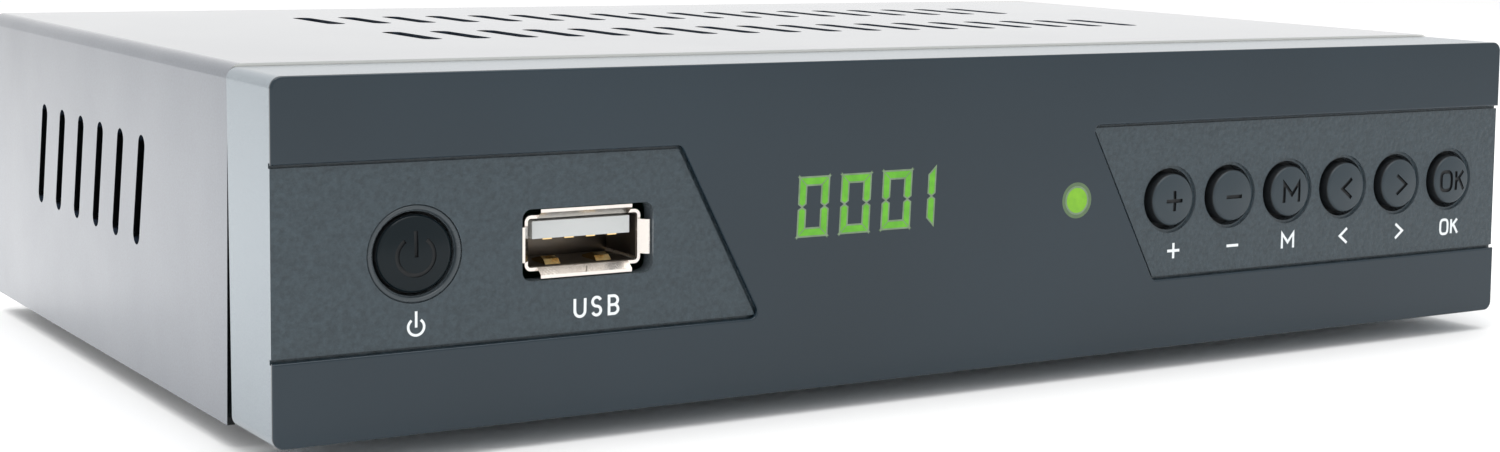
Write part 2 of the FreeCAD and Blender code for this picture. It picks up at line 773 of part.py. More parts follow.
def push_button(name, x, radius, edge, proud, hole):
    """A round cap with a collar behind the fascia's wall and a stem down to its switch."""
    wall = "LensDepth + FasciaWall"
    end = "FrontBoardPlace - SwitchDepth - PlungerOut"
    body = turned(name, x, FRONT, CONTROL_Z, [
        ("0", "-" + proud),
        (radius, "-" + proud),
        (radius, wall),
        ("%s + FlangeOver" % hole, wall),
        ("%s + FlangeOver" % hole, wall + " + FlangeDepth"),
        ("StemRadius", wall + " + FlangeDepth"),
        ("StemRadius", end),
        ("0", end),
    ])
    rim = value("LensDepth - " + proud)
    soften(body, body.Tip, edge, lambda item: item.BoundBox.YMax < rim and item.Length > value(radius))


KEYS = ("plus", "minus", "menu", "left", "right", "ok")
CONTROLS = [("power", POWER_X)]
CONTROLS += [(name, "(%s + KeyPitch * %d)" % (KEY_FIRST_X, i)) for i, name in enumerate(KEYS)]


def controls():
    switches = []
    for name, x in CONTROLS:
        if name == "power":
            push_button("power_button", x, "PowerCap", "PowerEdge", "0", "PowerHole")
        else:
            push_button(name + "_button", x, "KeyCap", "KeyEdge", "ButtonProud", "KeyHole")
        face = "(%s - SwitchDepth)" % BOARD_FRONT
        node(rod(name + "_plunger", "y", x, face + " - PlungerOut", CONTROL_Z, "PlungerRadius",
                 "PlungerOut + RunningGap"), name + "_plunger")
        case = block("switch_case", x, face, CONTROL_Z + " - SwitchSide / 2", "SwitchSide",
                     "SwitchDepth", "SwitchSide")
        well = rod("switch_well", "y", x, face, CONTROL_Z, "PlungerRadius + RunningGap",
                   "KeyTravel + RunningGap * 2")
        switches.append(cut("switch", case, well))
    node(group("tact_switches", switches), "tact_switches")


def front_board():
    plate = box("front_plate", BOARD_LEFT, BOARD_FRONT, "FootHeight + FrontBoardLow",
                "%s - %s" % (BOARD_RIGHT, BOARD_LEFT), "BoardDepth",
                "FrontBoardHigh - FrontBoardLow")
    holes = []
    screws = []
    for x, z in BOSSES:
        holes.append(rod("front_hole", "y", x, BOARD_FRONT, z, "BossHole + PartGap / 2", "BoardDepth"))
        head = rod("front_head", "y", x, BOARD_REAR, z, "BossHole * 2", "ScrewHeadDepth")
        shank = rod("front_shank", "y", x, BOARD_FRONT + " - BossRadius * 2", z, "BossHole",
                    "BossRadius * 2 + BoardDepth")
        screws.append(fuse("front_screw", head, shank))
    node(cut("front_board", plate, *holes), "front_board")
    node(group("front_board_screws", screws), "front_board_screws")


def usb_lip(body, name, upright, edge, side, front, half):
    """A lip that leans out from the USB mouth, above and below it or, not upright, beside it."""
    mouth = "(%s + UsbFlareDepth)" % front
    profile = []
    for y, out in ((mouth + " + UsbSheet", "0"), (mouth + " + UsbSheet", "UsbSheet"),
                   (mouth, "UsbSheet"), (front, "UsbSheet + UsbFlare"), (front, "UsbFlare"),
                   (mouth, "0")):
        across = "%s %s (%s)" % (edge, side, out)
        profile.append((y, across) if upright else (across, y))
    plane, middle = ("YZ_Plane", USB_X) if upright else ("XY_Plane", CONTROL_Z)
    lip = sketch(body, name, plane, "%s - %s" % (middle, half))
    outline(lip, profile if upright == (side == "+") else profile[::-1])
    pad(body, lip, "(%s) * 2" % half)


def usb_socket():
    front = "(%s + UsbSetBack)" % FRONT
    length = "FrontBoardPlace - UsbSetBack"
    middle = USB_X
    low = "(%s - UsbInHeight / 2)" % CONTROL_Z
    body = new_body("usb_shell")
    tube = sketch(body, "usb_tube", "XZ_Plane", "-(%s + UsbFlareDepth)" % front)
    for grow, corner in (("UsbSheet", "UsbCorner"), ("0", "(UsbCorner - UsbSheet)")):
        rectangle(tube, "%s - UsbInWidth / 2 - %s" % (middle, grow), "%s - %s" % (low, grow),
                  "%s + UsbInWidth / 2 + %s" % (middle, grow),
                  "%s + UsbInHeight + %s" % (low, grow), corner)
    pad(body, tube, length + " - UsbFlareDepth", True)
    for name, side in (("lower", "-"), ("upper", "+")):
        across = "(%s %s UsbInWidth / 2)" % (USB_X, side)
        upright = "(%s %s UsbInHeight / 2)" % (CONTROL_Z, side)
        usb_lip(body, "usb_%s_lip" % name, True, upright, side, front,
                "(UsbInWidth / 2 - UsbFlare * 1.5)")
        usb_lip(body, "usb_%s_side_lip" % name, False, across, side, front, "(UsbInHeight * 0.36)")

    rear = "UsbInHeight"
    tongue_low = "(%s + UsbInHeight - TongueDrop - TongueDepth)" % low
    tongue = block("usb_blade", middle, front + " + TongueSetBack", tongue_low, "TongueWidth",
                   "%s - TongueSetBack" % length, "TongueDepth")
    stop = block("usb_stop", middle, "%s - %s" % (BOARD_FRONT, rear), low,
                 "UsbInWidth - (UsbCorner - UsbSheet) * 2", rear, "UsbInHeight")
    node(fuse("usb_tongue", tongue, stop), "usb_tongue")

    strips = []
    for index in (-1.5, -0.5, 0.5, 1.5):
        place = "%s + %s * TongueWidth / 4.5" % (middle, index)
        strips.append(block("usb_strip", place, front + " + TongueSetBack + UsbSheet",
                            tongue_low + " - UsbSheet / 2", "UsbSheet * 3",
                            "%s - TongueSetBack - UsbSheet - %s" % (length, rear), "UsbSheet / 2"))
    node(group("usb_contacts", strips), "usb_contacts")


def display():
    node(block("display_module", "-DisplayX", WINDOW_FRONT, DISPLAY_LOW, "DisplayWidth",
               "DisplayDepth", "DisplayHeight"), "display_module")
    back = "(%s + DisplayDepth)" % WINDOW_FRONT
    frame = block("spacer_block", "-DisplayX", back, DISPLAY_LOW, "DisplayWidth",
                  "%s - %s" % (BOARD_FRONT, back), "DisplayHeight")
    void = block("spacer_void", "-DisplayX", back, DISPLAY_LOW + " + FasciaCorner",
                 "DisplayWidth - FasciaCorner * 2", "%s - %s" % (BOARD_FRONT, back),
                 "DisplayHeight - FasciaCorner * 2")
    node(cut("display_spacer", frame, void), "display_spacer")

    lamp_base = "StatusRadius * 3"
    lamp_z = "FootHeight + StatusRise"
    turned("status_led", "StatusX", WINDOW_FRONT, lamp_z, [
        ("0", "0"),
        ("StatusRadius * 0.6", "StatusRadius * 0.2"),
        ("StatusRadius", "StatusRadius"),
        ("StatusRadius", lamp_base + " - StatusRadius * 0.6"),
        ("StatusRadius * 1.25", lamp_base + " - StatusRadius * 0.6"),
        ("StatusRadius * 1.25", lamp_base),
        ("0", lamp_base),
    ])
    lamp_back = "(%s + %s)" % (WINDOW_FRONT, lamp_base)
    node(rod("led_holder", "y", "StatusX", lamp_back, lamp_z, "StatusRadius * 1.25",
             "%s - %s" % (BOARD_FRONT, lamp_back)), "led_holder")

    eye_back = "(%s + EyeDepth)" % WINDOW_FRONT
    case = block("eye_case", "EyeX", WINDOW_FRONT + " + EyeDepth / 2", EYE_LOW, "EyeWidth",
                 "EyeDepth / 2", "EyeHeight")
    dome = rod("eye_dome", "z", "EyeX", WINDOW_FRONT + " + EyeDepth / 2", EYE_LOW,
               "EyeDepth / 2", "EyeHeight")
    node(fuse("remote_eye", case, dome), "remote_eye")
    node(block("eye_holder", "EyeX", eye_back, EYE_LOW, "EyeWidth",
               "%s - %s" % (BOARD_FRONT, eye_back), "EyeHeight"), "eye_holder")


# The main board and what sits on it

POSTS = [
    (x, y)
    for x in ("(PostInset - %s)" % MAIN_HALF, "(%s - PostInset)" % MAIN_HALF)
    for y in ("(%s + PostInset)" % MAIN_FRONT, "(%s - CanLength - PostInset)" % MAIN_REAR)
]


def main_board():
    plate = box("main_plate", "-" + MAIN_HALF, MAIN_FRONT, MAIN_LOW, MAIN_HALF + " * 2",
                "%s - %s" % (MAIN_REAR, MAIN_FRONT), "BoardDepth")
    holes = []
    posts = []
    screws = []
    for x, y in POSTS:
        holes.append(rod("main_hole", "z", x, y, MAIN_LOW, "ScrewRadius + PartGap / 2", "BoardDepth"))
        pillar = rod("pillar", "z", x, y, FLOOR_TOP, "PostRadius", "%s - %s" % (MAIN_LOW, FLOOR_TOP))
        bore = rod("pillar_bore", "z", x, y, FLOOR_TOP, "ScrewRadius + PartGap / 6",
                   "%s - %s" % (MAIN_LOW, FLOOR_TOP))
        posts.append(cut("post", pillar, bore))
        head = rod("board_head", "z", x, y, MAIN_TOP, "ScrewHead", "ScrewHeadDepth")
        shank = rod("board_shank", "z", x, y, FLOOR_TOP + " + PartGap", "ScrewRadius",
                    "%s - %s - PartGap" % (MAIN_TOP, FLOOR_TOP))
        screws.append(fuse("board_screw", head, shank))
    node(cut("main_board", plate, *holes), "main_board")
    node(group("board_posts", posts), "board_posts")
    node(group("board_screws", screws), "board_screws")
    node(block("board_link", KEY_FIRST_X, BOARD_REAR, MAIN_TOP, "LinkWidth", "LinkDepth",
               "LinkHeight"), "board_link")


def tuner():
    rear = MAIN_REAR
    front = rear + " - CanLength"
    can = block("can_block", SAT_X, front, MAIN_TOP, "CanWidth", "CanLength", "CanHeight")
    void = block("can_void", SAT_X, front + " + TraySheet", MAIN_TOP + " + TraySheet",
                 "CanWidth - TraySheet * 2", "CanLength - TraySheet * 2", "CanHeight")
    node(cut("tuner_can", can, void), "tuner_can")
    lid = block("lid_plate", SAT_X, front, MAIN_TOP + " + CanHeight", "CanWidth", "CanLength",
                "TraySheet / 2")
    peeps = [
        rod("lid_hole", "z", "%s + CanWidth / 4 * (%d)" % (SAT_X, side), rear + " - CanLength / 2",
            MAIN_TOP + " + CanHeight", "ScrewRadius", "TraySheet / 2")
        for side in (-1, 1)
    ]
    node(cut("tuner_lid", lid, *peeps), "tuner_lid")

    reach = "%s + SocketReach - %s" % (BACK, rear)
    nut_face = "%s + SatNutDepth - %s" % (TRAY_BACK, rear)
    turned("sat_connector", SAT_X, rear, SAT_Z, [
        ("0", "0"),
        (SAT_NECK, "0"),
        (SAT_NECK, nut_face),
        ("SatRadius", nut_face),
        ("SatRadius", reach),
        ("SatBore", reach),
        ("SatBore", reach + " - SocketReach"),
        ("0", reach + " - SocketReach"),
    ])
    core = "SocketReach - PartGap"
    turned("sat_insulator", SAT_X, BACK, SAT_Z, [
        ("0", "0"),
        ("SatBore - PartGap / 6", "0"),
        ("SatBore - PartGap / 6", core),
        ("SatPin", core),
        ("SatPin / 2", core + " - SatPin"),
        ("SatPin / 2", core + " - SocketReach / 2"),
        ("0", core + " - SocketReach / 2"),
    ])
    ring = add("Part::Prism", "nut_block")
    bind(ring, Circumradius="SatNut + PartGap", Height="SatNutDepth")
    ring.Polygon = 6
    put(ring, SAT_X, TRAY_BACK, SAT_Z, TURNS["y"])
    bore = rod("nut_bore", "y", SAT_X, TRAY_BACK, SAT_Z, SAT_NECK + " + PartGap / 6", "SatNutDepth")
    node(cut("sat_nut", ring, bore), "sat_nut")


def sockets():
    front = "%s - LanLength" % BACK
    case = block("lan_case", LAN_X, front, MAIN_TOP, "LanWidth", "LanLength", "LanHeight")
    mouth_low = MAIN_TOP + " + (LanHeight - LanInHeight) / 2"
    mouth = block("lan_mouth", LAN_X, "%s - LanInDepth" % BACK, mouth_low, "LanInWidth",
                  "LanInDepth", "LanInHeight")
    key = block("lan_key", LAN_X, "%s - LanInDepth" % BACK, mouth_low + " - HdmiSheet * 3",
                "LanInWidth / 2", "LanInDepth", "HdmiSheet * 3")
    node(cut("lan_socket", case, mouth, key), "lan_socket")
    springs = [
        block("lan_spring", "%s + LanInWidth / 10 * (%s)" % (LAN_X, index - 3.5),
              "%s - LanInDepth" % BACK, mouth_low + " + LanInHeight - HdmiSheet",
              "HdmiSheet", "LanInDepth * 0.7", "HdmiSheet")
        for index in range(8)
    ]
    node(group("lan_contacts", springs), "lan_contacts")

    front = "%s - HdmiLength" % BACK
    outer = block("hdmi_outer", HDMI_X, front, MAIN_TOP, "HdmiWidth", "HdmiLength", "HdmiHeight")
    mouth = block("hdmi_mouth", HDMI_X, front + " + HdmiSheet", MAIN_TOP + " + HdmiSheet",
                  "HdmiWidth - HdmiSheet * 2", "HdmiLength", "HdmiHeight - HdmiSheet * 2")
    slopes = []
    for side in (-1, 1):
        corner = block("hdmi_corner", "%s + HdmiWidth / 2 * (%d)" % (HDMI_X, side), front,
                       MAIN_TOP + " - HdmiHeight / 5", "HdmiHeight / 2", "HdmiLength",
                       "HdmiHeight / 2")
        slopes.append(corner)
    node(cut("hdmi_shell", outer, mouth, *slopes), "hdmi_shell")
    blade = block("hdmi_tongue", HDMI_X, front + " + HdmiSheet", MAIN_TOP + " + HdmiHeight * 0.45",
                  "HdmiWidth * 0.7", "HdmiLength - HdmiSheet * 4", "HdmiSheet * 3")
    node(blade, "hdmi_tongue")

    body = block("audio_body", AUDIO_X, WALL_IN + " - AudioBlock", MAIN_TOP, "AudioBlock",
                 "AudioBlock", "AudioBlock")
    node(body, "audio_block")
    turned("audio_socket", AUDIO_X, WALL_IN, AUDIO_Z, [
        ("AudioBore", "0"),
        (AUDIO_NECK, "0"),
        (AUDIO_NECK, "TraySheet + CoverSheet"),
        ("AudioRadius", "TraySheet + CoverSheet"),
        ("AudioRadius", "AudioReach + TraySheet + CoverSheet"),
        ("AudioBore", "AudioReach + TraySheet + CoverSheet"),
    ])
    turned("audio_insulator", AUDIO_X, WALL_IN, AUDIO_Z, [
        ("0", "0"),
        ("AudioBore - PartGap / 6", "0"),
        ("AudioBore - PartGap / 6", "AudioReach"),
        ("AudioBore / 2", "AudioReach"),
        ("AudioBore / 2", "TraySheet"),
        ("0", "TraySheet"),
    ])

    case = block("jack_case", JACK_X, "%s - JackLength" % BACK, MAIN_TOP, "JackWidth",
                 "JackLength", "JackHeight")
    bore = rod("jack_bore", "y", JACK_X, "%s - JackLength * 0.7" % BACK, JACK_Z, "JackBore",
               "JackLength")
    node(cut("power_jack", case, bore), "power_jack")
    node(rod("jack_pin", "y", JACK_X, "%s - JackLength * 0.7" % BACK, JACK_Z, "JackPin",
             "JackLength * 0.65"), "jack_pin")


JACK_Z = "(%s + JackHeight / 2 + HdmiSheet)" % MAIN_TOP
CAPACITOR_Y = "(%s - JackLength - CapacitorRadius * 2)" % BACK


def board_parts():
    middle_y = "((%s + %s - CanLength) / 2)" % (MAIN_FRONT, MAIN_REAR)
    node(block("processor", "ChipX", middle_y + " - ChipSide / 2", MAIN_TOP, "ChipSide",
               "ChipSide", "ChipDepth"), "processor")
    sink = new_body("heatsink")
    profile = sketch(sink, "sink_base", "XZ_Plane", "-(%s + SinkSide / 2)" % middle_y)
    low = "(%s + ChipDepth)" % MAIN_TOP
    rectangle(profile, "ChipX - SinkSide / 2", low, "ChipX + SinkSide / 2", low + " + SinkBase")
    pad(sink, profile, "SinkSide")
    fin = sketch(sink, "sink_fin", "XZ_Plane", "-(%s + SinkSide / 2)" % middle_y)
    rectangle(fin, "ChipX - SinkSide / 2", low + " + SinkBase / 2",
              "ChipX - SinkSide / 2 + FinThickness", low + " + SinkHeight")
    pitch = "(SinkSide - FinThickness) / (FinCount - 1)"
    pattern(sink, pad(sink, fin, "SinkSide"), "X_Axis", pitch, "FinCount")

    chips = [
        block("memory_chip", "ChipX + SinkSide", middle_y + " + MemorySide * (%s)" % shift,
              MAIN_TOP, "MemorySide", "MemorySide", "MemoryDepth")
        for shift in (-1.3, 0.3)
    ]
    node(group("memory_chips", chips), "memory_chips")
    cans = [
        rod("capacitor", "z", "%s + CapacitorRadius * 2.5 * %d" % (JACK_X, index),
            CAPACITOR_Y, MAIN_TOP, "CapacitorRadius", "CapacitorHeight")
        for index in range(4)
    ]
    node(group("capacitors", cans), "capacitors")
    coils = [
        block("coil", "%s + CoilSide * 1.4 * %d" % (JACK_X, index),
              CAPACITOR_Y + " - CapacitorRadius * 1.5 - CoilSide", MAIN_TOP, "CoilSide",
              "CoilSide", "CoilHeight")
        for index in range(3)
    ]
    node(group("coils", coils), "coils")
    node(block("crystal", "ChipX - SinkSide", middle_y, MAIN_TOP, "MemorySide", "CoilHeight",
               "CoilHeight * 0.8"), "crystal")


# What holds the casing together and what it stands on

def fixings():
    lug_screws = []
    for place in LUGS:
        head = rod("lug_head", "z", place, LUG_Y, LOW + " - ScrewHeadDepth", "ScrewHead",
                   "ScrewHeadDepth")
        shank = rod("lug_shank", "z", place, LUG_Y, LOW, "ScrewRadius", "TraySheet + LugDepth")
        lug_screws.append(fuse("lug_screw", head, shank))
    node(group("lug_screws", lug_screws), "lug_screws")
    lip_screws = []
    for place in LIP_SCREWS:
        head = rod("lip_head", "y", place, BACK, LIP_SCREW_Z, "ScrewHead", "ScrewHeadDepth")
        shank = rod("lip_shank", "y", place, WALL_IN + " - ScrewHeadDepth", LIP_SCREW_Z,
                    "ScrewRadius", "ScrewHeadDepth + TraySheet + CoverSheet")
        lip_screws.append(fuse("lip_screw", head, shank))
    node(group("lip_screws", lip_screws), "lip_screws")

    feet = []
    for x in ("FootInset - Width / 2", "Width / 2 - FootInset"):
        for y in ("%s + FootInset" % FRONT, "%s - FootInset" % BACK):
            foot = bind(add("Part::Cone", "foot"), Radius1="FootRadius - FootTaper",
                        Radius2="FootRadius", Height="FootHeight")
            feet.append(put(foot, x, y, "0"))
    node(group("feet", feet), "feet")


top_cover()
base_tray()
front_fascia()
front_lens()
controls()
front_board()
usb_socket()
display()
main_board()
tuner()
sockets()
board_parts()
fixings()
doc.recompute()

for item in doc.Objects:
    if "Invalid" in item.State or "Error" in item.State:
        raise ValueError("%s: %s" % (item.Name, item.State))
for item in NODES:
    if item.Shape.isNull() or not item.Shape.isValid():
        raise ValueError("%s has no sound shape" % item.Label)

os.makedirs("parts", exist_ok=True)
for item in NODES:
    item.Shape.exportStep("parts/%s.step" % item.Label)
print(len(NODES), "pieces")
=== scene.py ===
import math
import bpy
from mathutils import Matrix, Vector


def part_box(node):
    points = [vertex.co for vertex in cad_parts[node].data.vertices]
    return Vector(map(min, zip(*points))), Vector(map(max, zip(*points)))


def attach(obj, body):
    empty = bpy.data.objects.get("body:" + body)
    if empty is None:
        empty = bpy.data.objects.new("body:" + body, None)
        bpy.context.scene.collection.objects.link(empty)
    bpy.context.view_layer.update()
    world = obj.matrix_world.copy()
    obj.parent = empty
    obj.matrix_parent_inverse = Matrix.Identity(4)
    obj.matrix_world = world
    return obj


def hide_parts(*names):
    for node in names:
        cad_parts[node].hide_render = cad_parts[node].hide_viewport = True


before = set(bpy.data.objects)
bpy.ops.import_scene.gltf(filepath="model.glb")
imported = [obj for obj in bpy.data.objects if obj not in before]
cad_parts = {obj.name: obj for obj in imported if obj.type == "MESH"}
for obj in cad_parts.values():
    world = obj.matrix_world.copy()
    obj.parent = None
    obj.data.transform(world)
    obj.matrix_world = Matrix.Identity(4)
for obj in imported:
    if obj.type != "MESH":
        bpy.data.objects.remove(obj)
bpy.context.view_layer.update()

MM = 0.001
BODY = "casing"
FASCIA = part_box("front_fascia")
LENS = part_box("front_lens")
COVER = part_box("top_cover")
FRONT = LENS[0].y                # the gloss front's face
PANEL = FASCIA[0].y              # the face of the two sunken textured panels
LOW = COVER[0].z                 # the casing's lower edge
CONTROL_Z = (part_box("power_button")[0].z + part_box("power_button")[1].z) / 2
SKIN = 0.03 * MM                 # how far a print stands off what carries it


# Materials

class Shader:
    """A node tree that ends in one Principled shader, with short calls to add to it."""

    def __init__(self, name, colour, roughness, metallic=0.0, **sockets):
        self.material = bpy.data.materials.new(name)
        self.material.use_nodes = True
        self.tree = self.material.node_tree
        self.shader = self.tree.nodes["Principled BSDF"]
        self.shader.inputs["Base Color"].default_value = (*colour, 1)
        self.shader.inputs["Roughness"].default_value = roughness
        self.shader.inputs["Metallic"].default_value = metallic
        for socket, value in sockets.items():
            self.shader.inputs[socket.replace("_", " ")].default_value = value
        self.place = self.tree.nodes.new("ShaderNodeTexCoord").outputs["Object"]

    def add(self, kind, **settings):
        node = self.tree.nodes.new("ShaderNode" + kind)
        for name, value in settings.items():
            setattr(node, name, value)
        return node

    def link(self, output, target):
        self.tree.links.new(output, target)
        return self

    def noise(self, scale, detail=2.0, roughness=0.5, stretch=None):
        node = self.add("TexNoise")
        node.inputs["Scale"].default_value = scale
        node.inputs["Detail"].default_value = detail
        node.inputs["Roughness"].default_value = roughness
        source = self.place
        if stretch:
            mapping = self.add("Mapping")
            mapping.inputs["Scale"].default_value = stretch
            self.link(self.place, mapping.inputs["Vector"])
            source = mapping.outputs["Vector"]
        self.link(source, node.inputs["Vector"])
        return node.outputs["Fac"]

    def ramp(self, source, low, high, from_low=0.3, from_high=0.7):
        """Colours from low to high as the source goes from one value to the other."""
        node = self.add("ValToRGB")
        first, last = node.color_ramp.elements
        first.position, last.position = from_low, from_high
        first.color, last.color = (*low, 1), (*high, 1)
        self.link(source, node.inputs["Fac"])
        return node.outputs["Color"]

    def span(self, source, low, high, from_low=0.3, from_high=0.7):
        """A number from low to high as the source goes from one value to the other."""
        node = self.add("MapRange")
        for socket, value in (("From Min", from_low), ("From Max", from_high),
                              ("To Min", low), ("To Max", high)):
            node.inputs[socket].default_value = value
        self.link(source, node.inputs["Value"])
        return node.outputs["Result"]

    def maths(self, operation, first, second):
        """The result of the operation on two values, each a number or a node's output."""
        node = self.add("Math", operation=operation)
        for socket, value in zip(node.inputs, (first, second)):
            if isinstance(value, (int, float)):
                socket.default_value = value
            else:
                self.link(value, socket)
        return node.outputs["Value"]

    def axis_y(self, vector):
        """The Y part of a vector."""
        parts = self.add("SeparateXYZ")
        self.link(vector, parts.inputs["Vector"])
        return parts.outputs["Y"]

    def facing_front(self, whole, none):
        """1 where the surface faces the front, down to 0, by the Y part of its normal."""
        return self.span(self.axis_y(self.add("NewGeometry").outputs["Normal"]), 1, 0, whole, none)

    def blend(self, factor, low, high):
        """A mix of two colours, each three numbers or a node's output."""
        node = self.add("Mix", data_type="RGBA")
        self.link(factor, node.inputs["Factor"])
        for name, value in (("A", low), ("B", high)):
            if isinstance(value, tuple):
                node.inputs[name].default_value = (*value, 1)
            else:
                self.link(value, node.inputs[name])
        return node.outputs["Result"]

    def colour(self, source):
        return self.link(source, self.shader.inputs["Base Color"])

    def rough(self, source):
        return self.link(source, self.shader.inputs["Roughness"])

    def bump(self, source, depth, strength=1.0):
        """Bumps of the given depth, in metres, laid over the bumps that are there."""
        node = self.add("Bump")
        node.inputs["Distance"].default_value = depth
        node.inputs["Strength"].default_value = strength
        self.link(source, node.inputs["Height"])
        normal = self.shader.inputs["Normal"]
        if normal.links:
            self.link(normal.links[0].from_socket, node.inputs["Normal"])
        return self.link(node.outputs["Normal"], normal)


def satin_paint(name, dark, light, roughness, metallic):
    """Metallic lacquer with fine flakes and a faint orange peel, under a clear coat."""
    paint = Shader(name, dark, roughness, metallic, Coat_Weight=1.0, Coat_Roughness=0.1)
    paint.colour(paint.ramp(paint.noise(5200, 3, 0.7), dark, light))
    paint.rough(paint.span(paint.noise(60, 3), roughness - 0.03, roughness + 0.03))
    paint.bump(paint.noise(1900, 2), 0.004 * MM)
    return paint


# Painted shade for the walls inside the slots.
SLOT_SHADE = (0.004, 0.005, 0.006)
CUT_EDGE = (0.75, 0.75, 0.72)


def cover_material():
    """The cover's lacquer, with its sheet's pale cut edge in front and painted shade inside its slots."""
    paint = satin_paint("cover_paint", (0.028, 0.043, 0.069), (0.057, 0.080, 0.119), 0.34, 0.8)
    lacquer = paint.shader.inputs["Base Color"].links[0].from_socket
    near_front = paint.span(paint.axis_y(paint.place), 1, 0, COVER[0].y + 0.1 * MM,
                            COVER[0].y + 0.3 * MM)
    # Faces to the front that lie back from the front edge, inside the slots, get the painted slot shade.
    cut = paint.blend(near_front, SLOT_SHADE, CUT_EDGE)
    paint.colour(paint.blend(paint.facing_front(-0.95, -0.85), lacquer, cut))
    return paint.material


def moulded(name, colour, roughness, grain=900, depth=0.02, spread=0.25, **sockets):
    """Moulded plastic with an even grain and a slight drift of tone."""
    plastic = Shader(name, colour, roughness, **sockets)
    low = [part * (1 - spread) for part in colour]
    high = [part * (1 + spread) for part in colour]
    plastic.colour(plastic.ramp(plastic.noise(40, 4, 0.6), low, high, 0.2, 0.8))
    plastic.rough(plastic.span(plastic.noise(grain, 2), roughness - 0.04, roughness + 0.05))
    plastic.bump(plastic.noise(grain, 3, 0.6), depth * MM)
    return plastic.material


def plated(name, colour, roughness, brushed=(1, 1, 1), depth=0.002):
    """Plated or rolled metal, with streaks where it is stretched one way."""
    metal = Shader(name, colour, roughness, 1.0)
    streaks = metal.noise(700, 4, 0.7, brushed)
    low = [part * 0.86 for part in colour]
    metal.colour(metal.ramp(streaks, low, colour))
    metal.rough(metal.span(streaks, roughness - 0.05, roughness + 0.08))
    metal.bump(streaks, depth * MM)
    return metal.material


def lit(name, colour, strength, deep):
    """A lit segment or lamp, or the painted glow round one, with a slightly deeper tone in places."""
    glow = Shader(name, colour, 0.25)
    tone = glow.ramp(glow.noise(900, 2), deep, colour)
    glow.colour(tone)
    glow.link(tone, glow.shader.inputs["Emission Color"])
    glow.shader.inputs["Emission Strength"].default_value = strength
    return glow.material


def fascia_material():
    """Dark leathery grain on the faces to the front, satin grey lacquer on the other sides."""
    made = Shader("fascia_finish", (0.05, 0.06, 0.07), 0.45, Coat_Weight=0.3, Coat_Roughness=0.22)
    front = made.facing_front(-0.85, -0.5)
    grain = made.add("TexVoronoi", feature="SMOOTH_F1")
    grain.inputs["Scale"].default_value = 1500
    made.link(made.place, grain.inputs["Vector"])
    leather = made.noise(2100, 3, 0.65)
    pebbles = made.maths("ADD", made.maths("MULTIPLY", grain.outputs["Distance"], 0.6), leather)
    lacquer = made.ramp(made.noise(5200, 3, 0.7), (0.17, 0.205, 0.235), (0.27, 0.32, 0.355))
    plastic = made.ramp(leather, (0.006, 0.018, 0.026), (0.024, 0.044, 0.057))
    made.colour(made.blend(front, lacquer, plastic))
    made.link(made.span(front, 0.6, 0, 0, 1), made.shader.inputs["Metallic"])
    made.rough(made.span(front, 0.24, 0.5, 0, 1))
    made.bump(made.maths("MULTIPLY", pebbles, front), 0.14 * MM)
    return made.material


def gloss_material(name="gloss_front", colour=(0.013, 0.026, 0.037), roughness=0.045, index=1.42):
    """Smoked gloss plastic: nearly black, with faint dust and a slight wave in the surface."""
    made = Shader(name, colour, roughness, IOR=index)
    low = [part * 0.85 for part in colour]
    made.colour(made.ramp(made.noise(30, 2), low, colour))
    made.rough(made.span(made.noise(350, 6, 0.7), roughness, roughness + 0.06, 0.45, 0.8))
    made.bump(made.noise(14, 1), 0.02 * MM, 0.5)
    return made.material


